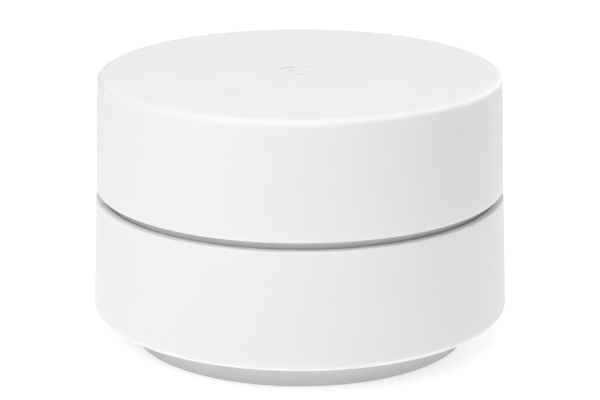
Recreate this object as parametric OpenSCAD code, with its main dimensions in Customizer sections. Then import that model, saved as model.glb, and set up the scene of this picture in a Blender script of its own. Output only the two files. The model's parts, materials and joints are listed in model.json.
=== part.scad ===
// Round two-shell wireless router on a raised foot: a white upper and lower shell with a grey light
// ring in the groove between them, a port bay in the rear of the lower shell, and the board, cooler,
// aerials, frame and fasteners inside.
// Millimetres. +Z is up, the origin is the centre of the foot's underside, and the ports face +Y.

/* [Shells] */
// Height from the foot's underside to the flat top
body_h = 68.75; // [68:0.25:72]
// Radius of the upper shell just under its rounded top edge
top_r = 51; // [50.6:0.1:51.4]
// Radius of the upper shell at its lower edge
upper_bottom_r = 51.9; // [51.7:0.1:52.2]
// Radius of the lower shell at its upper edge
lower_top_r = 52; // [51.8:0.1:52.4]
// Radius of the lower shell just above its rounded lower edge, the widest of the object
widest_r = 53.06; // [52.6:0.02:54]
// Thickness of both shells
wall = 2; // [1.8:0.1:2]
// How far in from the side the rounded top edge starts
top_round = 2.8; // [2:0.1:3.2]
// Height of the rounded top edge
top_round_h = 1.4; // [1:0.1:2.2]
// Radius of the rounded lower edge
low_round = 1.5; // [0.8:0.1:2]
// Radius of the small rounding on the upper shell's lower edge
lip_round = 0.35; // [0.2:0.05:0.5]

/* [Groove and light ring] */
// Height of the lower shell's upper edge
groove_z = 37.35; // [37:0.05:37.6]
// How far the lower shell's upper edge slopes down from the groove's floor to its outside
ledge_drop = 0.1; // [0:0.05:0.65]
// Radius of the rounding on the outside of the lower shell's upper edge
ledge_round = 0.3; // [0.2:0.05:0.8]
// Width of the groove between the shells
groove_gap = 2.05; // [1.5:0.05:2.4]
// Radius of the groove's floor, which is the light ring's face
groove_r = 49.72; // [49.4:0.02:49.74]
// Thickness of the light ring
ring_t = 1.8; // [1.4:0.1:1.9]

/* [Foot and base] */
// Radius of the foot at the surface it stands on
foot_r = 42.65; // [42.35:0.05:43]
// Radius of the foot where it meets the lower shell
foot_top_r = 44.1; // [43.4:0.1:44.5]
// Radius of the rounding on the foot's lower edge
foot_round = 0.35; // [0.2:0.05:0.8]
// Height of the foot, and of the lower shell's underside
foot_h = 7.58; // [7.4:0.02:7.7]
// Thickness of the foot's sole
sole_t = 1.2; // [1:0.1:1.2]
// Inner radius of the sole
sole_in_r = 35.6; // [35:0.1:36.5]

/* [Port bay] */
// Width of the bay's opening
bay_w = 54; // [53.6:0.2:54.4]
// Height of the bay's ceiling above the surface
bay_h = 21.2; // [21:0.1:22]
// Radius of the bay's upper corners
bay_round = 4; // [2:0.5:5]
// Thickness of the bay's walls
bay_t = 1.2; // [1:0.1:1.4]
// How far behind the router's centre line the port panel's inner face stands
panel_y = 27.2; // [27.2:0.1:27.6]
// Distance of each network socket from the router's centre plane
socket_x = 18.5; // [18.4:0.05:18.6]

/* [Reset button] */
// Radius of the button's cap
button_r = 2.5; // [2:0.1:2.6]
// How far the cap stands out of the port panel
button_proud = 0.9; // [0.8:0.1:1.4]
// Travel of the button
button_travel = 0.6; // [0.3:0.1:0.6]

/* [Top mark] */
// Radius of the sunk signal mark in the middle of the top
mark_r = 5.2; // [4:0.1:7]
// Depth of the sunk mark
mark_depth = 0.3; // [0.15:0.05:0.5]

/* [Inside] */
// Radius of the main board
board_r = 37.4; // [37:0.1:37.6]
// Thickness of the main board
board_t = 1.6; // [1.4:0.1:1.6]
// Height of the cooler's fins above its plate
fin_h = 30; // [8:1:30]
// Number of fins on the cooler
fin_count = 13; // [7:1:15]
// Number of lamps on the light board
lamp_count = 8; // [4:1:12]
// Diameter of an aerial lead
lead_d = 1.1; // [0.8:0.1:1.2]

/* [Hidden] */
$fn = 96;
eps = 0.01;
arc_steps = 12;

// Heights
low_edge_z = foot_h + low_round;
floor_z = foot_h + wall;
upper_bottom_z = groove_z + groove_gap;
ceiling_z = body_h - wall;
base_top_z = sole_t + 2;
board_z = 5;
board_top = board_z + board_t;
deck_z = 34.2;
deck_top = 36;
carrier_z = 37;
tab_z = 43;
tab_top = 45;
ring_top_z = 41.4;
ledge_tilt = atan(ledge_drop / (wall - ledge_round));

// Radii
floor_in_r = 39.4;
rim_r = 40.2;
rim_in_r = 38.2;
bay_outer_r = 50.4;
bay_foot_r = foot_r - 0.5;
sole_edge = 0.4;
frame_in_r = 40.6;
frame_out_r = 48.6;
deck_out_r = 49.2;
column_in_r = 45.3;
column_out_r = 48.3;
carrier_r = 46;
carrier_t = 1.4;
carrier_top = 62;

// Angles round the axis, counted from +X
post_angles = [20, 160, 235, 305];
post_ring_r = 32;
boss_angles = [30, 150, 270];
boss_ring_r = 36;
frame_screw_ring_r = 43.5;
column_angles = [0, 180, 215, 250, 290, 325];
peg_angles = [0, 180, 215, 325];
peg_ring_r = 44;
aerial_angles = [12, 168, 250, 290];
plug_ring_r = 34.5;

// Posts, bosses, pegs and the ears beside the bay
post_r = 3.5;
post_bore_r = 1.4;
boss_r = 3.2;
peg_r = 1.4;
frame_rail_t = 1.8;
ear_x = 31;
ear_y = 34;
ear_z = floor_z + frame_rail_t;
ear_t = 1.6;
ear_half = 2.8;

// Screw heads, and how deep the base screws' heads sit in the base plate
base_head_r = 2.6;
base_head_depth = 1.3;
frame_head_r = 2.3;
cooler_head_r = 2.4;
ear_head_r = 1.9;

// Blank label and its recess in the base plate
label_low = [-20, -6];
label_high = [20, 14];
label_recess = 0.2;
label_gap = 0.2;

// Aerial leads
lead_r = 38.5;
lead_bend_r = 2;
lead_low_z = board_top + 0.9;
lead_top_z = 46.5;

// Sockets
socket_w = 15.9;
socket_h = 13.3;
socket_d = 21.3;
socket_front = panel_y + 1;
plug_w = 11.8;
plug_h = 6.8;
plug_d = 14;
shield_t = 0.4;
latch_w = 6.2;
latch_h = 1.7;
plug_z = board_top + 3.9;
power_x = -4;
power_w = 9;
power_h = 11;
power_d = 14;
power_axis_z = board_top + 6.5;
power_bore_r = 3.2;
power_bore_d = 9.5;
power_pin_r = 1;
button_x = 5.5;
button_z = board_top + 4.4;
stem_y = panel_y - 2.95;
plunger_r = 1.75;
plunger_l = 2.25;
fit_gap = 0.15;
inner_round = 1;

// Cooler and the shield cans under it
can_h = 2.2;
heatsink_z = board_top + 3;
heatsink_top = heatsink_z + 2.4;
heatsink_x = 24;
heatsink_y = [-22, 4.5];
pillar_spots = [[-26, -18.5], [26, -18.5], [-26, 1], [26, 1]];
pillar_bore_r = 1.3;
can_t = 0.25;
can_low_y = -19.5;
can_w = 11.5;
can_d = 17.5;

// Shared by several parts

// Points on an arc, squashed in height when squash is below 1
function arc(x, z, r, from, to, squash = 1) = [
    for (i = [0 : arc_steps])
        let(a = from + (to - from) * i / arc_steps) [x + r * cos(a), z + squash * r * sin(a)]
];

module round_array(angles, ring_r) {
    for (a = angles) rotate([0, 0, a]) translate([ring_r, 0, 0]) children();
}

// A box placed by its lowest and highest corners
module box(low, high) {
    translate(low) cube(high - low);
}

// A sector of a ring with a rectangular section
module ring_sector(r_in, r_out, z0, z1, from, to) {
    rotate([0, 0, from]) rotate_extrude(angle = to - from)
        translate([r_in, z0]) square([r_out - r_in, z1 - z0]);
}

module ring(r_in, r_out, z0, z1) {
    translate([0, 0, z0]) difference() {
        cylinder(r = r_out, h = z1 - z0);
        translate([0, 0, -1]) cylinder(r = r_in, h = z1 - z0 + 2);
    }
}

module bay_outline(w, h, r) {
    translate([-w / 2, -1]) square([w, h + 1 - r]);
    translate([-w / 2 + r, -1]) square([w - 2 * r, h + 1]);
    for (side = [-1, 1]) translate([side * (w / 2 - r), h - r]) circle(r = r);
}

// The bay's cross-section, run from y0 to y1
module bay_solid(w, h, r, y0, y1) {
    translate([0, y1, 0]) rotate([90, 0, 0]) linear_extrude(y1 - y0) bay_outline(w, h, r);
}

// The room that the bay's insert takes out of a part, clear of it by gap
module bay_clearance(gap) {
    bay_solid(bay_w + 2 * (bay_t + gap), bay_h + bay_t + gap, bay_round + bay_t, panel_y - gap, 60);
}

// A screw along +Z with its head's underside at z = 0, the head below it and a cross cut into the head
module screw(head_r, head_h, shank_r, shank_l) {
    bevel_h = head_h * 0.4;
    tip_h = shank_r * 0.6;
    slot_half = head_r * 0.55;
    slot_t = 0.6;
    slot_depth = head_h * 0.55;
    difference() {
        union() {
            translate([0, 0, -head_h]) cylinder(r1 = head_r * 0.86, r2 = head_r, h = bevel_h);
            translate([0, 0, bevel_h - head_h]) cylinder(r = head_r, h = head_h - bevel_h);
            cylinder(r = shank_r, h = shank_l - tip_h);
            translate([0, 0, shank_l - tip_h]) cylinder(r1 = shank_r, r2 = shank_r * 0.5, h = tip_h);
        }
        for (turn = [0, 90]) rotate([0, 0, turn]) box(
            [-slot_half, -slot_t / 2, -head_h - 1],
            [slot_half, slot_t / 2, slot_depth - head_h]
        );
    }
}

// Outer shells

// A dot under two arcs with round ends
module signal_mark() {
    line_half = mark_r * 0.1;
    ends = [50, 130];
    translate([0, -mark_r * 0.8, 0]) {
        cylinder(r = mark_r * 0.2, h = wall);
        for (r = [0.85, 1.5] * mark_r) {
            ring_sector(r - line_half, r + line_half, 0, wall, ends[0], ends[1]);
            round_array(ends, r) cylinder(r = line_half, h = wall);
        }
    }
}

function upper_outline() = concat(
    [[0, body_h]],
    arc(top_r - top_round, body_h - top_round_h, top_round, 90, 2, top_round_h / top_round),
    arc(upper_bottom_r - lip_round, upper_bottom_z + lip_round, lip_round, 2, -90),
    [[upper_bottom_r - wall, upper_bottom_z]],
    arc(top_r - wall - inner_round, ceiling_z - inner_round, inner_round, 0, 90),
    [[0, ceiling_z]]
);

module upper_shell() {
    rib_in_r = 8;
    rib_out_r = 43.5;
    rib_t = 1.2;
    rib_h = 2.2;
    sunk = 0.5;
    color("white") difference() {
        union() {
            rotate_extrude() polygon(upper_outline());
            round_array(boss_angles, boss_ring_r)
                translate([0, 0, tab_top]) cylinder(r = boss_r, h = ceiling_z - tab_top + sunk);
            for (a = [0 : 60 : 300]) rotate([0, 0, a])
                box([rib_in_r, -rib_t / 2, ceiling_z - rib_h], [rib_out_r, rib_t / 2, ceiling_z + sunk]);
        }
        round_array(boss_angles, boss_ring_r) translate([0, 0, tab_top - 1]) cylinder(r = 1, h = 10);
        translate([0, 0, body_h - mark_depth]) signal_mark();
    }
}

function lower_outline() = concat(
    [[lower_top_r - wall, groove_z]],
    arc(lower_top_r - ledge_round, groove_z - ledge_drop - ledge_round, ledge_round, 90 - ledge_tilt, 2),
    arc(widest_r - low_round, low_edge_z, low_round, 2, -90),
    [[floor_in_r, foot_h], [floor_in_r, floor_z]],
    arc(widest_r - wall - inner_round, floor_z + inner_round, inner_round, -90, 0)
);

module lower_shell() {
    color("white") union() {
        difference() {
            rotate_extrude() polygon(lower_outline());
            bay_solid(bay_w, bay_h, bay_round, panel_y, 60);
            intersection() {
                bay_clearance(fit_gap);
                cylinder(r = bay_outer_r + fit_gap, h = body_h);
            }
        }
        round_array(peg_angles, peg_ring_r) translate([0, 0, floor_z - 0.5]) cylinder(r = peg_r, h = 3.5);
    }
}

module light_ring() {
    color([0.66, 0.66, 0.66]) ring(groove_r - ring_t, groove_r, deck_top, ring_top_z);
}

function foot_outline() = concat(
    [[sole_in_r, sole_edge], [sole_in_r + sole_edge, 0]],
    arc(foot_r - foot_round, foot_round, foot_round, -90, -6),
    [
        [foot_top_r, foot_h],
        [rim_r + fit_gap, foot_h],
        [rim_r + fit_gap, sole_t],
        [sole_in_r, sole_t]
    ]
);

module foot_ring() {
    color([0.76, 0.76, 0.76]) difference() {
        rotate_extrude() polygon(foot_outline());
        bay_clearance(fit_gap);
    }
}

// A vent slot with round ends, cut right through
module vent_slot(x) {
    half_w = 0.8;
    ends = [-31, -13];
    box([x - half_w, ends[0], 0], [x + half_w, ends[1], foot_h]);
    for (y = ends) translate([x, y, 0]) cylinder(r = half_w, h = foot_h);
}

module base_plate() {
    sunk = 0.5;
    color([0.9, 0.9, 0.9]) difference() {
        union() {
            translate([0, 0, sole_t]) cylinder(r = rim_r, h = base_top_z - sole_t);
            ring(rim_in_r, rim_r, base_top_z - sunk, foot_h);
            round_array(post_angles, post_ring_r) translate([0, 0, base_top_z - sunk])
                cylinder(r = post_r, h = board_z - base_top_z + sunk);
        }
        bay_clearance(fit_gap);
        round_array(post_angles, post_ring_r) {
            cylinder(r = post_bore_r, h = foot_h);
            cylinder(r = base_head_r + 2 * fit_gap, h = sole_t + base_head_depth);
        }
        for (x = [-12 : 4 : 12]) vent_slot(x);
        box([label_low[0], label_low[1], 0], [label_high[0], label_high[1], sole_t + label_recess]);
    }
}

// The two places beside the bay where its ears are screwed to the frame
module bay_screw_places() {
    for (side = [-1, 1]) translate([side * ear_x, ear_y, 0]) children();
}

// The square hole in the port panel round a socket that stands on the board
module panel_hole(x, w, h) {
    half_w = w / 2 + fit_gap;
    box([x - half_w, panel_y - 1, board_top - fit_gap], [x + half_w, panel_y + 3, board_top + h + fit_gap]);
}

module port_bay() {
    color([0.93, 0.93, 0.93]) difference() {
        union() {
            intersection() {
                bay_solid(bay_w + 2 * bay_t, bay_h + bay_t, bay_round + bay_t, panel_y, 60);
                translate([0, 0, foot_h]) cylinder(r = bay_outer_r, h = body_h);
            }
            intersection() {
                bay_solid(bay_w + 2 * bay_t, bay_h + bay_t, bay_round + bay_t, panel_y, 60);
                translate([0, 0, sole_t]) cylinder(r = bay_foot_r, h = foot_h);
            }
            for (side = [0, 1]) mirror([side, 0, 0]) box(
                [bay_w / 2 + bay_t / 2, ear_y - ear_half, ear_z],
                [ear_x + ear_half - 0.4, ear_y + ear_half, ear_z + ear_t]
            );
        }
        bay_solid(bay_w, bay_h, bay_round, panel_y + bay_t, 61);
        bay_screw_places() translate([0, 0, ear_z - 1]) cylinder(r = 1.1, h = ear_t + 2);
        for (side = [-1, 1]) panel_hole(side * socket_x, socket_w, socket_h);
        panel_hole(power_x, power_w, power_h);
        along_button(panel_y - 1) cylinder(r = button_r + fit_gap, h = 4);
    }
}

module blank_label() {
    label_t = 0.15;
    color([0.82, 0.82, 0.82]) box(
        [label_low[0] + label_gap, label_low[1] + label_gap, sole_t + label_recess - label_t],
        [label_high[0] - label_gap, label_high[1] - label_gap, sole_t + label_recess]
    );
}

// Reset button and its switch. Both are drawn along +Y, which is out of the panel.

module along_button(y) {
    translate([button_x, y, button_z]) rotate([-90, 0, 0]) children();
}

// The cap, the flange that keeps it in the panel, and the stem that presses the plunger
module reset_button() {
    cap_end = panel_y + bay_t + button_proud;
    edge = 0.4;
    flange_t = 0.9;
    flange_y = panel_y - 0.05 - flange_t;
    color([0.72, 0.72, 0.72]) union() {
        along_button(flange_y) cylinder(r = button_r, h = cap_end - edge - flange_y);
        along_button(cap_end - edge) cylinder(r1 = button_r, r2 = button_r - edge, h = edge);
        along_button(flange_y) cylinder(r = button_r + flange_t, h = flange_t);
        along_button(stem_y) cylinder(r = 1.5, h = panel_y - stem_y - 0.5);
    }
}

module switch_plunger() {
    color([0.2, 0.2, 0.2]) along_button(stem_y - plunger_l) cylinder(r = plunger_r, h = plunger_l);
}

module switch_body() {
    half = 3.1;
    foot_half = 0.4;
    back = panel_y - 8.2;
    front = panel_y - 4.6;
    color([0.15, 0.15, 0.16]) difference() {
        union() {
            box([button_x - half, back, button_z - half], [button_x + half, front, button_z + half]);
            for (x = [button_x - 2.2, button_x + 2.2]) box(
                [x - foot_half, back + 0.6, board_top],
                [x + foot_half, back + 1.2, button_z - half + 0.1]
            );
        }
        along_button(front - 1.6) cylinder(r = plunger_r + 0.1, h = 3);
    }
}

// Just clear of the plunger when the button is fully pressed
module switch_dome() {
    dome_h = 0.3;
    dome_y = stem_y - plunger_l - button_travel - 0.1 - dome_h;
    color("silver") along_button(dome_y) cylinder(r1 = 1.6, r2 = 0.9, h = dome_h);
}

// Network sockets, drawn round x = 0 with the mouth facing +Y

// The room for the plug and its latch, run out past the front
module socket_mouth() {
    plug_y = socket_front - plug_d;
    box([-plug_w / 2, plug_y, plug_z], [plug_w / 2, socket_front + 1, plug_z + plug_h]);
    box([-latch_w / 2, plug_y + 4, plug_z - latch_h], [latch_w / 2, socket_front + 1, plug_z + eps]);
}

// The socket's outer block, smaller by inset on every side but its underside and front
module socket_block(inset, low_z, front_y) {
    box(
        [inset - socket_w / 2, socket_front - socket_d + inset, low_z],
        [socket_w / 2 - inset, front_y, board_top + socket_h - inset]
    );
}

module socket_housing() {
    color([0.12, 0.12, 0.13]) difference() {
        socket_block(shield_t + 0.05, board_top, socket_front - shield_t);
        socket_mouth();
    }
}

module socket_shield() {
    color("silver") difference() {
        socket_block(0, board_top, socket_front);
        socket_block(shield_t, board_top - 1, socket_front - shield_t + eps);
        socket_mouth();
    }
}

module socket_contacts() {
    pitch = 1.02;
    width = 0.5;
    mouth_top = plug_z + plug_h;
    strip = [
        [-2.5, 0],
        [-3.7, 0],
        [-11, -1.75],
        [-11.3, -2.1],
        [-10.8, -2.15],
        [-3.2, -0.35],
        [-2.5, -0.35]
    ];
    color("gold") for (i = [0 : 7]) translate([(i - 3.5) * pitch - width / 2, socket_front, mouth_top])
        rotate([90, 0, 90]) linear_extrude(width) polygon(strip);
}

// Power socket

// Placed on the jack's axis at the given depth behind its face, and drawn along +Y
module along_power(depth) {
    translate([power_x, socket_front - depth, power_axis_z]) rotate([-90, 0, 0]) children();
}

module power_socket() {
    mouth_edge = 0.5;
    color([0.1, 0.1, 0.11]) difference() {
        box(
            [power_x - power_w / 2, socket_front - power_d, board_top],
            [power_x + power_w / 2, socket_front, board_top + power_h]
        );
        along_power(power_bore_d) cylinder(r = power_bore_r, h = power_bore_d + 1);
        along_power(mouth_edge)
            cylinder(r1 = power_bore_r, r2 = power_bore_r + mouth_edge, h = mouth_edge + eps);
    }
}

module power_pin() {
    straight = 8;
    tip = 0.5;
    color("silver") along_power(power_bore_d) {
        cylinder(r = power_pin_r, h = straight);
        translate([0, 0, straight]) cylinder(r1 = power_pin_r, r2 = power_pin_r * 0.5, h = tip);
    }
}

module power_leaf() {
    half_w = 0.8;
    low = -3.08;
    high = -2.75;
    color("gold") translate([power_x, socket_front, power_axis_z])
        box([-half_w, 0.1 - power_bore_d, low], [half_w, -2, high]);
}

// Main board and what is soldered to it

module on_board(low, size) {
    translate([low[0], low[1], board_top]) cube(size);
}

module at_pillars(z) {
    for (p = pillar_spots) translate([p[0], p[1], z]) children();
}

module main_board() {
    color([0.05, 0.25, 0.16]) difference() {
        translate([0, 0, board_z]) cylinder(r = board_r, h = board_t);
        box([-board_r - 1, panel_y - 0.2, board_z - 1], [board_r + 1, board_r + 1, board_top + 1]);
        round_array(post_angles, post_ring_r) cylinder(r = post_bore_r + 0.1, h = board_top + 1);
        at_pillars(0) cylinder(r = pillar_bore_r, h = board_top + 1);
    }
}

module processor() {
    color([0.1, 0.1, 0.1]) on_board([-5.5, -19], [11, 11, 1.2]);
}

module memory_chips() {
    color([0.1, 0.1, 0.1]) for (x = [-8.2, 0.9]) on_board([x, -7.3], [7.3, 4.8, 0.9]);
}

module radio_chips() {
    color([0.1, 0.1, 0.1]) for (side = [-1, 1]) on_board([side * 16.7 - 4, -14.5], [8, 8, 0.9]);
}

module power_chips() {
    color([0.1, 0.1, 0.1]) {
        on_board([29, -16.5], [4, 4, 1]);
        on_board([-33, -16.5], [4, 4, 1]);
        on_board([-5.5, 0], [5, 4, 1]);
    }
}

// A pressed can, open below, from x0 to x1
module shield_can(x0, x1) {
    color("silver") difference() {
        box([x0, can_low_y, board_top], [x1, can_low_y + can_d, board_top + can_h]);
        box(
            [x0 + can_t, can_low_y + can_t, board_top - 1],
            [x1 - can_t, can_low_y + can_d - can_t, board_top + can_h - can_t]
        );
    }
}

// The pads between the chips and their cans, and between the cans and the cooler
module thermal_pads() {
    can_top = board_top + can_h;
    can_inside = can_top - can_t;
    color([0.55, 0.65, 0.75]) {
        box([-4.5, -18, board_top + 1.2], [4.5, -9, can_inside]);
        box([-7, -18, can_top], [7, -4, heatsink_z]);
        for (x = [-16.7, 16.7]) {
            box([x - 3, -13.5, board_top + 0.9], [x + 3, -7.5, can_inside]);
            box([x - 4.5, -15.5, can_top], [x + 4.5, -6, heatsink_z]);
        }
    }
}

// The transformers between the network sockets and the processor
module network_transformers() {
    color([0.13, 0.13, 0.14]) for (x = [-16.5, 16.5]) on_board([x - 6.2, -1.2], [12.4, 6, 2.3]);
}

module power_coils() {
    side = 5.6;
    body_t = 2.8;
    color([0.25, 0.25, 0.27]) for (low = [[27.5, -11], [-33.1, -11], [-2.8, -35]]) {
        on_board(low, [side, side, body_t]);
        translate([low[0] + side / 2, low[1] + side / 2, board_top + body_t - 0.1])
            cylinder(r = 2.2, h = 0.4);
    }
}

// Cans on square bases
module capacitors() {
    base = 6.6;
    base_t = 0.8;
    can_l = 6.2;
    color([0.75, 0.75, 0.78]) for (x = [-4.2, 4.2]) translate([x, 9.3, board_top]) {
        translate([-base / 2, -base / 2, 0]) cube([base, base, base_t]);
        translate([0, 0, base_t - eps]) cylinder(r = 3.15, h = can_l);
    }
}

// Resistors and small capacitors, in rows along the front of the board
module small_parts() {
    size = [0.8, 1.6, 0.6];
    turned = [1.6, 0.8, 0.6];
    color([0.75, 0.68, 0.55]) {
        for (x = [-10 : 2 : 10]) on_board([x - size[0] / 2, -24.5], size);
        for (x = [-6 : 2 : 6]) on_board([x - size[0] / 2, -28], size);
        for (x = [-31, 31], i = [0 : 3]) on_board([x - turned[0] / 2, i * 1.6 - 3.5], turned);
    }
}

module ribbon_sockets() {
    half_w = 4.6;
    color([0.9, 0.88, 0.8]) {
        box([-36.4, -half_w, board_top], [-33.6, half_w, board_top + 1.9]);
        box([-44.6, -half_w, carrier_z], [-42, half_w, carrier_z + 1.2]);
    }
}

module aerial_plugs() {
    color("gold") round_array(aerial_angles, plug_ring_r) translate([0, 0, board_top]) {
        cylinder(r = 1.4, h = 0.35);
        cylinder(r = 1.05, h = 1.3);
    }
}

// Cooler

// A plate with fins, cut away round each screw so that a driver reaches it
module heatsink() {
    fin_t = 1.2;
    pitch = (2 * heatsink_x - fin_t) / (fin_count - 1);
    fin_low_z = heatsink_top - eps;
    color([0.7, 0.71, 0.72]) difference() {
        union() {
            box([-heatsink_x, heatsink_y[0], heatsink_z], [heatsink_x, heatsink_y[1], heatsink_top]);
            for (i = [0 : fin_count - 1]) translate([i * pitch - heatsink_x, 0, 0])
                box([0, heatsink_y[0], fin_low_z], [fin_t, heatsink_y[1], fin_low_z + fin_h]);
            at_pillars(heatsink_z) cylinder(r = 3.1, h = heatsink_top - heatsink_z);
        }
        at_pillars(0) cylinder(r = pillar_bore_r + fit_gap, h = heatsink_top + 1);
        at_pillars(heatsink_top) cylinder(r = cooler_head_r + 0.5, h = fin_h + 1);
    }
}

module heatsink_pillars() {
    color("goldenrod") at_pillars(board_top) difference() {
        cylinder(r = 2.5, h = heatsink_z - board_top, $fn = 6);
        translate([0, 0, -1]) cylinder(r = pillar_bore_r, h = 10);
    }
}

module heatsink_screws() {
    color("silver") at_pillars(heatsink_top) rotate([180, 0, 0]) screw(cooler_head_r, 1.6, 1.2, 8.5);
}

// Frame, light board and aerials

// A lower and an upper ring joined by columns, with arms in to the posts
module inner_frame() {
    rail_top = floor_z + frame_rail_t;
    arm_half = 2.5;
    column_half = 4;
    color([0.3, 0.31, 0.33]) difference() {
        union() {
            ring(frame_in_r, frame_out_r, floor_z, rail_top);
            ring(frame_in_r - 0.2, deck_out_r, deck_z, deck_top);
            for (a = column_angles) rotate([0, 0, a])
                box([column_in_r, -column_half, floor_z + 1], [column_out_r, column_half, deck_z + 1]);
            round_array(post_angles, post_ring_r) {
                translate([0, 0, board_top]) cylinder(r = post_r - 0.5, h = rail_top - board_top);
                box([0, -arm_half, floor_z], [frame_in_r + 1 - post_ring_r, arm_half, rail_top]);
            }
            round_array(boss_angles, frame_screw_ring_r)
                translate([0, 0, deck_z - 1]) cylinder(r = frame_head_r + 0.4, h = 2);
        }
        bay_clearance(2 * fit_gap);
        round_array(post_angles, post_ring_r) cylinder(r = 1.15, h = rail_top + 1);
        bay_screw_places() cylinder(r = 0.85, h = rail_top + 1);
        round_array(boss_angles, frame_screw_ring_r) translate([0, 0, deck_z - 2]) cylinder(r = 1.3, h = 10);
        round_array(peg_angles, peg_ring_r) cylinder(r = peg_r + 0.2, h = rail_top + 1);
    }
}

module light_board() {
    color([0.92, 0.93, 0.94]) difference() {
        ring(frame_in_r + 0.2, 47.6, deck_top, carrier_z);
        round_array(boss_angles, frame_screw_ring_r) cylinder(r = 1.4, h = carrier_z + 1);
    }
}

module lamps() {
    half_w = 1.1;
    color([0.98, 0.96, 0.8]) for (i = [0 : lamp_count - 1]) rotate([0, 0, (i + 0.5) * 360 / lamp_count])
        box([46.3, -half_w, carrier_z], [47.4, half_w, carrier_z + 0.8]);
}

// A thin strip folded from the light board down to the main board
module light_ribbon() {
    skin = 0.3;
    half_w = 4;
    top_end = carrier_z + 0.3;
    low_end = board_top + 1.3;
    wall_x = -38.8;
    strip = [
        [-42, top_end],
        [-42, top_end + skin],
        [wall_x + skin, top_end + skin],
        [wall_x + skin, low_end + skin],
        [-36.4, low_end + skin],
        [-36.4, low_end],
        [wall_x, low_end],
        [wall_x, top_end]
    ];
    color([0.85, 0.6, 0.25]) translate([0, half_w, 0]) rotate([90, 0, 0])
        linear_extrude(2 * half_w) polygon(strip);
}

// A thin drum on a foot flange, with tabs for the shell screws, windows, and holes for the leads
module aerial_carrier() {
    window_angles = [50, 90, 130, 210, 330];
    window_half = 9;
    window_z = [46, 58];
    ribbon_half = 5.2;
    in_r = 40;
    out_r = 50;
    color([0.2, 0.2, 0.21]) difference() {
        union() {
            ring(41.5, carrier_r, carrier_z, carrier_z + 1.6);
            ring(carrier_r - carrier_t, carrier_r, carrier_z + 1, carrier_top);
            round_array(boss_angles, frame_screw_ring_r)
                translate([0, 0, carrier_z]) cylinder(r = 2.4, h = 5);
            round_array(boss_angles, boss_ring_r) {
                box([0, -boss_r, tab_z], [carrier_r - 1 - boss_ring_r, boss_r, tab_top]);
                translate([0, 0, tab_z]) cylinder(r = boss_r, h = tab_top - tab_z);
            }
        }
        round_array(boss_angles, frame_screw_ring_r)
            translate([0, 0, carrier_z - 1]) cylinder(r = 1.05, h = 5.6);
        round_array(boss_angles, boss_ring_r) translate([0, 0, tab_z - 1]) cylinder(r = 1.3, h = 4);
        for (a = window_angles) rotate([0, 0, a])
            box([in_r, -window_half, window_z[0]], [out_r, window_half, window_z[1]]);
        round_array(aerial_angles, in_r) translate([0, 0, lead_top_z]) rotate([0, 90, 0])
            cylinder(r = lead_d / 2 + 0.2, h = out_r - in_r);
        box([-out_r, -ribbon_half, carrier_z - 1], [-in_r, ribbon_half, carrier_z + 2.2]);
    }
}

// The flat shape of an aerial: a grounded strip, a feed leg and an arm for each radio band
module aerial_outline() {
    translate([-11, 45]) square([22, 3]);
    translate([-11, 45]) square([2, 13]);
    translate([-11, 55.5]) square([20.5, 2.5]);
    translate([-5, 47]) square([1.2, 9]);
    translate([0.5, 50.5]) square([9, 2]);
    translate([8, 50.5]) square([1.5, 6]);
}

// A stamped aerial wrapped round the carrier
module aerial(i) {
    skin = 0.3;
    color("goldenrod") rotate([0, 0, aerial_angles[i]]) intersection() {
        ring(carrier_r, carrier_r + skin, carrier_z, carrier_top);
        rotate([90, 0, 90]) linear_extrude(60) aerial_outline();
    }
}

// A quarter of a round bend in the radius and height plane, starting at the given angle
module lead_bend(x, z, from) {
    translate([x, 0, z]) rotate([90, 0, 0]) rotate([0, 0, from])
        rotate_extrude(angle = 90) translate([lead_bend_r, 0]) circle(r = lead_d / 2, $fn = 32);
}

// A straight run of an aerial's lead, outwards at the height z
module lead_run(from, to, z) {
    translate([from, 0, z]) rotate([0, 90, 0]) cylinder(r = lead_d / 2, h = to - from);
}

// An aerial's lead: out along the board, up inside the frame, and out through the carrier
module aerial_lead(i) {
    color([0.15, 0.15, 0.15]) rotate([0, 0, aerial_angles[i]]) union() {
        lead_run(plug_ring_r + 1.1, lead_r - lead_bend_r, lead_low_z);
        lead_bend(lead_r - lead_bend_r, lead_low_z + lead_bend_r, -90);
        translate([lead_r, 0, lead_low_z + lead_bend_r])
            cylinder(r = lead_d / 2, h = lead_top_z - lead_low_z - 2 * lead_bend_r);
        lead_bend(lead_r + lead_bend_r, lead_top_z - lead_bend_r, 90);
        lead_run(lead_r + lead_bend_r, carrier_r - 0.02, lead_top_z);
    }
}

// Screws

module base_screws() {
    color("silver") round_array(post_angles, post_ring_r)
        translate([0, 0, sole_t + base_head_depth]) screw(base_head_r, 1.2, 1.1, 8);
}

module frame_screws() {
    color("silver") round_array(boss_angles, frame_screw_ring_r)
        translate([0, 0, deck_z - 1]) screw(frame_head_r, 1.5, 1, 8);
}

module bay_screws() {
    color("silver") bay_screw_places()
        translate([0, 0, ear_z + ear_t]) rotate([180, 0, 0]) screw(ear_head_r, 1.1, 0.8, 3.2);
}

module shell_screws() {
    color("silver") round_array(boss_angles, boss_ring_r)
        translate([0, 0, tab_z]) screw(frame_head_r, 1.5, 0.95, 9);
}

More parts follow.
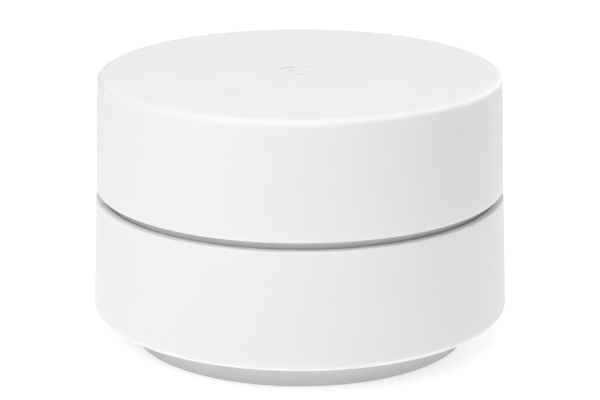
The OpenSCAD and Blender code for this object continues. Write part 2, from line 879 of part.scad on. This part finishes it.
upper_shell();
lower_shell();
light_ring();
foot_ring();
base_plate();
port_bay();
blank_label();
reset_button();
switch_plunger();
switch_body();
switch_dome();
translate([-socket_x, 0, 0]) socket_housing();  // wan_socket
translate([-socket_x, 0, 0]) socket_shield();  // wan_socket_shield
translate([-socket_x, 0, 0]) socket_contacts();  // wan_contacts
translate([socket_x, 0, 0]) socket_housing();  // lan_socket
translate([socket_x, 0, 0]) socket_shield();  // lan_socket_shield
translate([socket_x, 0, 0]) socket_contacts();  // lan_contacts
power_socket();
power_pin();
power_leaf();
main_board();
processor();
memory_chips();
radio_chips();
power_chips();
shield_can(-9, 9);  // processor_shield
shield_can(-11 - can_w, -11);  // left_radio_shield
shield_can(11, 11 + can_w);  // right_radio_shield
thermal_pads();
network_transformers();
power_coils();
capacitors();
small_parts();
ribbon_sockets();
aerial_plugs();
heatsink();
heatsink_pillars();
heatsink_screws();
inner_frame();
light_board();
lamps();
light_ribbon();
aerial_carrier();
aerial(0);  // right_aerial
aerial(1);  // left_aerial
aerial(2);  // front_left_aerial
aerial(3);  // front_right_aerial
aerial_lead(0);  // right_aerial_lead
aerial_lead(1);  // left_aerial_lead
aerial_lead(2);  // front_left_aerial_lead
aerial_lead(3);  // front_right_aerial_lead
base_screws();
frame_screws();
bay_screws();
shell_screws();
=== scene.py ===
import json
import math

import bmesh
import bpy
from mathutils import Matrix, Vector


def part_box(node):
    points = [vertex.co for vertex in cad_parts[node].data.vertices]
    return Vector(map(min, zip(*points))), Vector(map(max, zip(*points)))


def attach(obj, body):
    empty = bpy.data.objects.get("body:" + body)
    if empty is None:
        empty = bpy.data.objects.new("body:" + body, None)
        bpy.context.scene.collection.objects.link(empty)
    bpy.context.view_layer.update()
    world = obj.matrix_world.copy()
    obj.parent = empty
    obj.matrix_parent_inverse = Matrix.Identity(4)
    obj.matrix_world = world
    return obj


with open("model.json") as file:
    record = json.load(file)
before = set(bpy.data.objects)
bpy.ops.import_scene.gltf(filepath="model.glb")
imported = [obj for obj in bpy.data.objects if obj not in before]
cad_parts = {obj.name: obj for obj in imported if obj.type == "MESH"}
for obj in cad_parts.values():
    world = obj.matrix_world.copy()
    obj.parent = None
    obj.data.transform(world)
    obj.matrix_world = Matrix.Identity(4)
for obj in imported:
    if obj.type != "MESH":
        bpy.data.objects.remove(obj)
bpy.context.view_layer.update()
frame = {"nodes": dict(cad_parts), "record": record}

MM = 0.001
ROUTER = "router"
SEAM_GAP = 0.001 * MM  # corners closer than this are one corner
FLAT_ANGLE = math.radians(0.3)  # faces that turn less than this are one flat face
SHARP_ANGLE = math.radians(33)  # edges that turn more than this are sharp

# Patterns that every finish has: noise cells per metre, and the worn edges' radius in millimetres
BROAD_MOTTLE = 45
SMUDGES = 130
WORN_PATCHES = 260
WORN_EDGE_RADIUS = 0.15

# Most of a noise's values are between these
NOISE_LOW = 0.3
NOISE_HIGH = 0.7

# How far the rounded and the flat normal agree where wear starts, and where it is full
WEAR_STARTS = 0.995
WEAR_IS_FULL = 0.85
LEAST_WORN_PATCH = 0.15


# Node helpers


def add_node(tree, kind, inputs=None, **settings):
    """A shader node with its settings and its inputs, each a value or another node's output."""
    node = tree.nodes.new(kind)
    for key, value in settings.items():
        setattr(node, key, value)
    for key, value in (inputs or {}).items():
        if isinstance(value, bpy.types.NodeSocket):
            tree.links.new(value, node.inputs[key])
        else:
            node.inputs[key].default_value = value
    return node


def rgba(color, factor=1.0):
    return [min(1.0, c * factor) for c in color] + [1.0]


def noise(tree, where, scale, detail=3.0, roughness=0.5):
    inputs = {"Vector": where, "Scale": scale, "Detail": detail, "Roughness": roughness}
    return add_node(tree, "ShaderNodeTexNoise", inputs).outputs["Fac"]


def remap(tree, value, from_low, from_high, to_low, to_high):
    inputs = {
        "Value": value,
        "From Min": from_low,
        "From Max": from_high,
        "To Min": to_low,
        "To Max": to_high,
    }
    return add_node(tree, "ShaderNodeMapRange", inputs).outputs["Result"]


def mix_colors(tree, factor, first, second):
    """The Mix node's colour sockets go by number, because its other kinds use the same names."""
    return add_node(tree, "ShaderNodeMix", {0: factor, 6: first, 7: second}, data_type="RGBA").outputs[2]


def multiply(tree, first, second):
    return add_node(tree, "ShaderNodeMath", {0: first, 1: second}, operation="MULTIPLY").outputs["Value"]


def worn(color):
    """A colour dulled by handling: part of a light grey is mixed in."""
    light_grey = 0.75
    return [0.6 * part + 0.4 * light_grey for part in color]


def edge_mask(tree, place):
    """How worn the surface is by a sharp edge, from 0 to 1, and its normal with the edges rounded."""
    bevel = add_node(tree, "ShaderNodeBevel", {"Radius": WORN_EDGE_RADIUS * MM}, samples=6)
    rounded = bevel.outputs["Normal"]
    flat = add_node(tree, "ShaderNodeNewGeometry").outputs["Normal"]
    normals = {0: rounded, 1: flat}
    agreement = add_node(tree, "ShaderNodeVectorMath", normals, operation="DOT_PRODUCT").outputs["Value"]
    edge = remap(tree, agreement, WEAR_STARTS, WEAR_IS_FULL, 0, 1)
    patches = remap(tree, noise(tree, place, WORN_PATCHES, detail=4), 0.35, 0.6, LEAST_WORN_PATCH, 1)
    return multiply(tree, edge, patches), rounded


def surface(
    name,
    color,
    rough,
    metallic=0.0,
    mottle=0.03,
    grain=2400,
    grain_depth=0.02,
    stretch=(1, 1, 1),
    smudging=0.12,
    wear=0.3,
    **sockets,
):
    """A material with mottled colour, uneven roughness, a fine grain and worn edges, all at real scale.

    Grain is in cells per metre and grain_depth in millimetres. Mottle, smudging and wear are shares.
    """
    material = bpy.data.materials.new(name)
    material.use_nodes = True
    tree = material.node_tree
    shader = tree.nodes["Principled BSDF"]
    place = add_node(tree, "ShaderNodeTexCoord").outputs["Object"]
    place = add_node(tree, "ShaderNodeMapping", {"Vector": place, "Scale": stretch}).outputs["Vector"]
    at_edge, rounded = edge_mask(tree, place)

    spread = remap(tree, noise(tree, place, BROAD_MOTTLE, detail=4), NOISE_LOW, NOISE_HIGH, 0, 1)
    tint = mix_colors(tree, spread, rgba(color, 1 - mottle), rgba(color, 1 + mottle))
    tint = mix_colors(tree, remap(tree, at_edge, 0, 1, 0, wear), tint, rgba(worn(color)))
    tree.links.new(tint, shader.inputs["Base Color"])

    low, high = rough * (1 - smudging), rough * (1 + smudging)
    smudges = noise(tree, place, SMUDGES, detail=5, roughness=0.6)
    uneven = remap(tree, smudges, NOISE_LOW, NOISE_HIGH, low, high)
    polished = multiply(tree, uneven, remap(tree, at_edge, 0, 1, 1, 1 - wear))
    tree.links.new(polished, shader.inputs["Roughness"])

    fine = noise(tree, place, grain, detail=2)
    grain_inputs = {"Height": fine, "Strength": 1.0, "Distance": grain_depth * MM, "Normal": rounded}
    bump = add_node(tree, "ShaderNodeBump", grain_inputs)
    tree.links.new(bump.outputs["Normal"], shader.inputs["Normal"])

    shader.inputs["Metallic"].default_value = metallic
    for key, value in sockets.items():
        shader.inputs[key.replace("_", " ")].default_value = value
    return material


# One finish for each of the record's material slots. Colours are linear.

LOOKS = {
    "white_plastic": dict(
        color=(0.82, 0.82, 0.82), rough=0.48, mottle=0.004, grain=3200, grain_depth=0.004,
        smudging=0.03, wear=0.1, Subsurface_Weight=0.5, Subsurface_Scale=0.002,
        Subsurface_Radius=(1, 1, 1),
    ),
    "ring_grey_plastic": dict(
        color=(0.68, 0.68, 0.68), rough=0.5, mottle=0.01, grain=2600, grain_depth=0.006,
    ),
    "grey_rubber": dict(color=(0.7, 0.7, 0.7), rough=0.7, mottle=0.02, grain=1800, grain_depth=0.03),
    "pale_grey_plastic": dict(color=(0.7, 0.7, 0.7), rough=0.55, mottle=0.02, grain=1600, grain_depth=0.03),
    "label_film": dict(color=(0.62, 0.62, 0.62), rough=0.35, mottle=0.01, grain=900, grain_depth=0.004),
    "button_grey_plastic": dict(
        color=(0.3, 0.3, 0.31), rough=0.5, mottle=0.03, grain=1600, grain_depth=0.02,
    ),
    "black_plastic": dict(
        color=(0.018, 0.018, 0.02), rough=0.45, mottle=0.15, grain=1500, grain_depth=0.03,
    ),
    "spring_steel": dict(color=(0.62, 0.62, 0.62), rough=0.25, metallic=1.0, stretch=(1, 1, 12), grain=900),
    "plated_steel": dict(
        color=(0.6, 0.6, 0.58), rough=0.3, metallic=1.0, stretch=(1, 8, 1), grain=700,
        grain_depth=0.004,
    ),
    "gold_plate": dict(color=(0.85, 0.62, 0.25), rough=0.22, metallic=1.0, grain=1800, grain_depth=0.004),
    "nickel_pin": dict(
        color=(0.68, 0.66, 0.62), rough=0.18, metallic=1.0, stretch=(8, 1, 8), grain=900,
        grain_depth=0.004,
    ),
    "green_board": dict(color=(0.012, 0.12, 0.05), rough=0.35, mottle=0.1, grain=1500, grain_depth=0.01),
    "chip_epoxy": dict(color=(0.02, 0.02, 0.022), rough=0.55, mottle=0.1, grain=2200, grain_depth=0.02),
    "pad_silicone": dict(color=(0.25, 0.36, 0.5), rough=0.8, mottle=0.06, grain=1200, grain_depth=0.04),
    "ferrite": dict(color=(0.06, 0.06, 0.065), rough=0.7, mottle=0.15, grain=1500, grain_depth=0.05),
    "capacitor_can": dict(color=(0.7, 0.7, 0.72), rough=0.25, metallic=1.0, grain=900, grain_depth=0.004),
    "ceramic_tan": dict(color=(0.4, 0.28, 0.16), rough=0.5, mottle=0.15, grain=1800, grain_depth=0.02),
    "cream_plastic": dict(color=(0.68, 0.62, 0.48), rough=0.5, mottle=0.04, grain=1500, grain_depth=0.02),
    "cast_aluminium": dict(
        color=(0.55, 0.56, 0.57), rough=0.45, metallic=1.0, mottle=0.06, grain=1300, grain_depth=0.05,
    ),
    "brass_pillar": dict(
        color=(0.7, 0.5, 0.22), rough=0.3, metallic=1.0, stretch=(1, 1, 14), grain=500,
        grain_depth=0.01,
    ),
    "screw_steel": dict(color=(0.5, 0.5, 0.51), rough=0.32, metallic=1.0, grain=1400, grain_depth=0.01),
    "frame_grey_plastic": dict(
        color=(0.09, 0.095, 0.1), rough=0.55, mottle=0.06, grain=1500, grain_depth=0.03,
    ),
    "white_board": dict(color=(0.75, 0.76, 0.77), rough=0.4, mottle=0.02, grain=1500, grain_depth=0.01),
    "lamp_resin": dict(color=(0.85, 0.78, 0.45), rough=0.2, mottle=0.05, grain=900, grain_depth=0.01),
    "amber_film": dict(color=(0.5, 0.24, 0.04), rough=0.25, mottle=0.06, grain=700, grain_depth=0.01),
    "aerial_brass": dict(
        color=(0.72, 0.52, 0.24), rough=0.3, metallic=1.0, stretch=(1, 1, 10), grain=700,
        grain_depth=0.006,
    ),
    "lead_black": dict(color=(0.02, 0.02, 0.02), rough=0.5, mottle=0.1, grain=1500, grain_depth=0.02),
}
finishes = {name: surface(name, **look) for name, look in LOOKS.items()}

for row in frame["record"]["subparts"]:
    mesh_object = frame["nodes"][row["node"]]
    for slot in mesh_object.material_slots:
        slot.material = finishes[row["material_slot"]]


# Shading and rounded edges of the CAD nodes


def join_faces(mesh_object):
    """Joins a mesh's seams and the small faces that its flat faces are made of."""
    weld = mesh_object.modifiers.new("seams", "WELD")
    weld.merge_threshold = SEAM_GAP
    flat = mesh_object.modifiers.new("flats", "DECIMATE")
    flat.decimate_type = "DISSOLVE"
    flat.angle_limit = FLAT_ANGLE


def shade_by_area(mesh_object):
    """Shades a mesh by its larger faces, so that flat faces look flat."""
    normals = mesh_object.modifiers.new("normals", "WEIGHTED_NORMAL")
    normals.keep_sharp = False


def even_normals(mesh_object):
    """Shades flat faces flat and keeps sharp edges sharp, without rounding them."""
    join_faces(mesh_object)
    split = mesh_object.modifiers.new("sharp edges", "EDGE_SPLIT")
    split.split_angle = SHARP_ANGLE
    shade_by_area(mesh_object)


def round_edges(mesh_object, width):
    """Rounds a mesh's sharp edges by width, in millimetres."""
    join_faces(mesh_object)
    bevel = mesh_object.modifiers.new("edges", "BEVEL")
    bevel.limit_method = "ANGLE"
    bevel.angle_limit = SHARP_ANGLE
    bevel.width = width * MM
    bevel.segments = 2
    bevel.use_clamp_overlap = False
    shade_by_area(mesh_object)


# Width of the rounded edges in millimetres, and the nodes that have it
NODES_BY_EDGE_WIDTH = {
    0.25: ("power_coils",),
    0.2: ("reset_button", "heatsink", "aerial_carrier", "network_transformers"),
    0.15: ("base_plate", "power_socket", "switch_body"),
    0.12: (
        "wan_socket_shield", "lan_socket_shield", "ribbon_sockets", "processor_shield",
        "left_radio_shield", "right_radio_shield", "heatsink_pillars",
    ),
    0.1: ("wan_socket", "lan_socket", "lamps", "thermal_pads"),
    0.08: ("processor", "memory_chips", "radio_chips", "power_chips"),
    0.07: ("base_screws", "frame_screws", "bay_screws", "shell_screws", "heatsink_screws"),
    0.06: ("main_board", "light_board"),
}
for width, nodes in NODES_BY_EDGE_WIDTH.items():
    for node in nodes:
        round_edges(frame["nodes"][node], width)
even_normals(frame["nodes"]["upper_shell"])


# Pieces drawn as lines of one width. Points and places are in millimetres.

SHARPEST_TURN = 0.5  # cosine of half a corner's turn; a sharper corner's point is cut short


def add_line(mesh, points, width, height, place, closed=False):
    """A bar along points in a plane, width across in the plane and height out of it."""
    points = [Vector(point) for point in points]
    last = len(points) - 1
    rings = []
    for i, point in enumerate(points):
        before = point - points[i - 1] if closed or i > 0 else points[1] - point
        after = points[(i + 1) % len(points)] - point if closed or i < last else before
        before, after = before.normalized(), after.normalized()
        along = (before + after).normalized()
        widened = width / max(SHARPEST_TURN, along.dot(after))
        side = Vector((-along.y, along.x)) * widened / 2
        edges = (point + side, point - side)
        corners = [Vector(place(edge.x, edge.y, h)) for h in (0, height) for edge in edges]
        rings.append([mesh.verts.new(corner * MM) for corner in corners])
    following = rings[1:] + rings[:1] if closed else rings[1:]
    for here, there in zip(rings, following):
        for j, k in ((0, 1), (1, 3), (3, 2), (2, 0)):
            mesh.faces.new((here[j], here[k], there[k], there[j]))
    if not closed:
        for ring in (rings[0], rings[-1]):
            mesh.faces.new([ring[j] for j in (0, 1, 3, 2)])


def finish_piece(mesh, name, slot):
    """Turns the built mesh into a piece that rides on the router and wears one of the record's finishes."""
    bmesh.ops.recalc_face_normals(mesh, faces=mesh.faces)
    data = bpy.data.meshes.new(name)
    mesh.to_mesh(data)
    mesh.free()
    piece = bpy.data.objects.new(name, data)
    bpy.context.scene.collection.objects.link(piece)
    data.materials.append(finishes[slot])
    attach(piece, ROUTER)


def node_box(node):
    """A CAD node's lowest and highest corners in millimetres."""
    low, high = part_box(node)
    return Vector(low) / MM, Vector(high) / MM


def middle_x(node):
    low, high = node_box(node)
    return (low.x + high.x) / 2


def circle_points(radius, start=0, end=360, steps=40, squeeze=1.0):
    angles = [math.radians(start + (end - start) * i / steps) for i in range(steps + 1)]
    return [(squeeze * radius * math.cos(a), radius * math.sin(a)) for a in angles]


def closed_circle(radius, squeeze=1.0):
    """A circle's points without the last one, which is the first again."""
    return circle_points(radius, squeeze=squeeze)[:-1]


def rectangle(x0, y0, x1, y1):
    return [(x0, y0), (x1, y0), (x1, y1), (x0, y1)]


# Plain symbols printed under the ports. Each line has its points and whether it is closed.

SYMBOL_LINE = 0.26
SYMBOL_HEIGHT = 0.05
GLOBE_RADIUS = 1.35
ARROW_RADIUS = 1.1
SHIELD_TO_PANEL = 0.2  # how far the port panel's face stands out past the sockets' shields


def globe_lines():
    return [
        (closed_circle(GLOBE_RADIUS), True),
        (closed_circle(GLOBE_RADIUS, squeeze=0.45), True),
        ([(-GLOBE_RADIUS, 0), (GLOBE_RADIUS, 0)], False),
    ]


def tree_lines():
    top_box = rectangle(-0.45, 0.5, 0.45, 1.3)
    left_box = rectangle(-1.45, -1.3, -0.55, -0.5)
    right_box = rectangle(0.55, -1.3, 1.45, -0.5)
    return [
        (top_box, True),
        (left_box, True),
        (right_box, True),
        ([(0, 0.5), (0, 0)], False),
        ([(-1, -0.5), (-1, 0), (1, 0), (1, -0.5)], False),
    ]


def direct_current_lines():
    half_dash = 0.32
    gap_up = 0.45
    dashes = [([(x - half_dash, -gap_up), (x + half_dash, -gap_up)], False) for x in (-1.1, 0, 1.1)]
    return [([(-1.42, gap_up), (1.42, gap_up)], False)] + dashes


def turning_arrow_lines():
    return [
        (circle_points(ARROW_RADIUS, -40, 250), False),
        ([(-0.95, -1.25), (-0.38, -1.03), (-0.55, -0.42)], False),
    ]


def panel_face_y():
    """The port panel's outer face, which the reset button stands out of."""
    return node_box("wan_socket_shield")[1].y + SHIELD_TO_PANEL


def make_symbol(name, node, lines):
    """Draws a symbol on the port panel under a node, between the sockets and the bay's lower edge."""
    panel = panel_face_y()
    centre_x = middle_x(node)
    centre_z = (node_box("port_bay")[0].z + node_box("wan_socket_shield")[0].z) / 2
    mesh = bmesh.new()
    for points, closed in lines:
        add_line(
            mesh, points, SYMBOL_LINE, SYMBOL_HEIGHT,
            lambda u, v, h: (centre_x - u, panel + h, centre_z + v), closed,
        )
    finish_piece(mesh, name, "button_grey_plastic")


# Springs inside the network sockets, which touch a plug's metal sides

SPRING_T = 0.16
SPRING_H = 2.6
SPRING_Z = 12.6  # the springs' lower edge
SPRING_INSET = 0.35  # how far behind the shield's front the springs start


def make_socket_springs(name, node):
    """Two springs along the sides of a socket's opening. They bow towards its middle."""
    centre_x = middle_x(node)
    front = node_box(node)[1].y - SPRING_INSET
    bow = [(0, 5.82), (-0.5, 5.8), (-3, 5.45), (-4.2, 5.3), (-5.4, 5.45), (-8.2, 5.82)]
    mesh = bmesh.new()
    for side in (-1, 1):
        add_line(
            mesh, bow, SPRING_T, SPRING_H,
            lambda u, v, h: (centre_x + side * v, front + u, SPRING_Z + h),
        )
    finish_piece(mesh, name, "spring_steel")


# Leads, solder and print on the main board

LEAD_T = 0.14
LEAD_W = 0.36
LEAD_REACH = 0.7
LEAD_INSET = 0.2  # from the chip's ends to the row of leads
LEAD_START = 0.45  # height where a lead leaves its chip, as a share of the chip's height
SOLDER_T = 0.06
PRINT_LINE = 0.15
PRINT_HEIGHT = 0.02
PRINT_GAPS = {"network_transformers": 0.85, "power_chips": 0.85, "power_coils": 0.5, "capacitors": 0.3}


def board_top():
    return node_box("main_board")[1].z


def lead_row(mesh, x0, x1, y, out, count, height):
    """Bent leads from x0 to x1 that leave a chip's side at y. Out is -1 or 1 along Y."""
    board = board_top()
    bent = [(-0.1, height), (LEAD_REACH * 0.35, height), (LEAD_REACH * 0.55, 0.12), (LEAD_REACH, 0.1)]
    for i in range(count):
        x = x0 + (x1 - x0) * (i + 0.5) / count - LEAD_W / 2
        add_line(mesh, bent, LEAD_T, LEAD_W, lambda u, v, h: (x + h, y + out * u, board + v))


def solid_boxes(node):
    """The boxes of a CAD node's separate solids, in millimetres."""
    mesh = bmesh.new()
    mesh.from_mesh(frame["nodes"][node].data)
    mesh.transform(frame["nodes"][node].matrix_world)
    bmesh.ops.remove_doubles(mesh, verts=mesh.verts, dist=SEAM_GAP)
    left = set(mesh.verts)
    boxes = []
    while left:
        queue = [left.pop()]
        corners = []
        while queue:
            vertex = queue.pop()
            corners.append(vertex.co / MM)
            for edge in vertex.link_edges:
                other = edge.other_vert(vertex)
                if other in left:
                    left.remove(other)
                    queue.append(other)
        lows = [min(corner[axis] for corner in corners) for axis in range(3)]
        highs = [max(corner[axis] for corner in corners) for axis in range(3)]
        boxes.append((Vector(lows), Vector(highs)))
    mesh.free()
    return sorted(boxes, key=lambda box: [round(place, 2) for place in box[0]])


def make_chip_leads():
    """Leads along the front and rear sides of the transformers and the power chips."""
    mesh = bmesh.new()
    for node, count in (("network_transformers", 8), ("power_chips", 4)):
        for low, high in solid_boxes(node):
            height = (high.z - low.z) * LEAD_START
            for y, out in ((low.y, -1), (high.y, 1)):
                lead_row(mesh, low.x + LEAD_INSET, high.x - LEAD_INSET, y, out, count, height)
    finish_piece(mesh, "chip_leads", "nickel_pin")


def add_fillet(mesh, low, high, long_axis, out):
    """A sloped solder fillet at one end of a small part. Out is -1 or 1 along its long axis."""
    board = board_top()
    slope = [(-0.05, 0.02), (0.12, 0.3), (0.42, 0.02)]
    across = 1 - long_axis
    end = (high if out > 0 else low)[long_axis]

    def place(u, v, h):
        point = [0, 0, board + v]
        point[long_axis] = end + out * u
        point[across] = low[across] + h
        return point

    add_line(mesh, slope, SOLDER_T, high[across] - low[across], place)


def make_solder():
    mesh = bmesh.new()
    for low, high in solid_boxes("small_parts"):
        size = high - low
        for out in (-1, 1):
            add_fillet(mesh, low, high, 1 if size.y > size.x else 0, out)
    finish_piece(mesh, "solder_fillets", "nickel_pin")


def make_board_print():
    """Printed outlines round the parts, with no lettering."""
    board = board_top()
    mesh = bmesh.new()
    for node, gap in PRINT_GAPS.items():
        for low, high in solid_boxes(node):
            outline = rectangle(low.x - gap, low.y - gap, high.x + gap, high.y + gap)
            add_line(mesh, outline, PRINT_LINE, PRINT_HEIGHT, lambda u, v, h: (u, v, board + h), True)
    finish_piece(mesh, "board_print", "white_board")


make_symbol("wan_symbol", "wan_socket_shield", globe_lines())
make_symbol("lan_symbol", "lan_socket_shield", tree_lines())
make_symbol("power_symbol", "power_socket", direct_current_lines())
make_symbol("reset_symbol", "reset_button", turning_arrow_lines())
make_socket_springs("wan_socket_springs", "wan_socket_shield")
make_socket_springs("lan_socket_springs", "lan_socket_shield")
make_chip_leads()
make_solder()
make_board_print()


# Stage, camera and light

FLOOR_SIZE = 8
FLOOR_GREY = (0.93, 0.93, 0.93)
FLOOR_GLOW = 0.4
LIGHT_DISTANCE = 1.2
LIGHT_AIM = Vector((0, 0, 0.035))
SURROUNDING_LIGHT = 0.1


def plain_material(name, color, rough, glow):
    """A material of one even colour that also gives off a little light."""
    material = bpy.data.materials.new(name)
    material.use_nodes = True
    shader = material.node_tree.nodes["Principled BSDF"]
    shader.inputs["Base Color"].default_value = rgba(color)
    shader.inputs["Roughness"].default_value = rough
    shader.inputs["Emission Color"].default_value = rgba(color)
    shader.inputs["Emission Strength"].default_value = glow
    return material


def make_floor():
    bpy.ops.mesh.primitive_plane_add(size=FLOOR_SIZE)
    floor = bpy.context.object
    floor.name = "floor"
    floor.data.materials.append(plain_material("pale_floor", FLOOR_GREY, 0.9, FLOOR_GLOW))


def face(holder, target):
    """Turns a light or camera to look at target."""
    holder.rotation_euler = (target - holder.location).to_track_quat("-Z", "Y").to_euler()


def make_camera():
    """A long lens that looks down a little at the router's middle."""
    aim = Vector((0, 0, 0.0347))
    tilt = math.radians(16.52)
    distance = 0.6026
    camera = bpy.data.cameras.new("camera")
    camera.sensor_width = 36
    camera.lens = 141.2
    camera.clip_start = 0.01
    camera.clip_end = 50
    holder = bpy.data.objects.new("camera", camera)
    bpy.context.scene.collection.objects.link(holder)
    holder.location = aim + distance * Vector((0, -math.cos(tilt), math.sin(tilt)))
    face(holder, aim)
    bpy.context.scene.camera = holder


def soft_box(name, azimuth, elevation, size, watts):
    """A square soft light facing the router. Angles are in degrees.

    Azimuth 0 is the camera's side, and it grows towards +X. Elevation past 90 leans to the far side.
    """
    a, e = math.radians(azimuth), math.radians(elevation)
    away = Vector((math.cos(e) * math.sin(a), -math.cos(e) * math.cos(a), math.sin(e)))
    lamp = bpy.data.lights.new(name, "AREA")
    lamp.shape = "SQUARE"
    lamp.size = size
    lamp.energy = watts
    holder = bpy.data.objects.new(name, lamp)
    bpy.context.scene.collection.objects.link(holder)
    holder.location = LIGHT_AIM + LIGHT_DISTANCE * away
    face(holder, LIGHT_AIM)


make_floor()
make_camera()
soft_box("left_light", -48, 45, 0.6, 2.9)
soft_box("front_light", -12, 42, 0.6, 3.8)
soft_box("high_left_light", -45, 68, 0.6, 1.2)
soft_box("top_light", 0, 90, 1.0, 7.4)
soft_box("rear_top_light", 0, 125, 0.8, 2.2)
soft_box("rear_right_light", 140, 22, 0.6, 4.3)

scene = bpy.context.scene
scene.view_settings.view_transform = "Standard"
scene.world = bpy.data.worlds.new("studio")
scene.world.use_nodes = True
background = scene.world.node_tree.nodes["Background"]
background.inputs["Color"].default_value = (1, 1, 1, 1)
background.inputs["Strength"].default_value = SURROUNDING_LIGHT
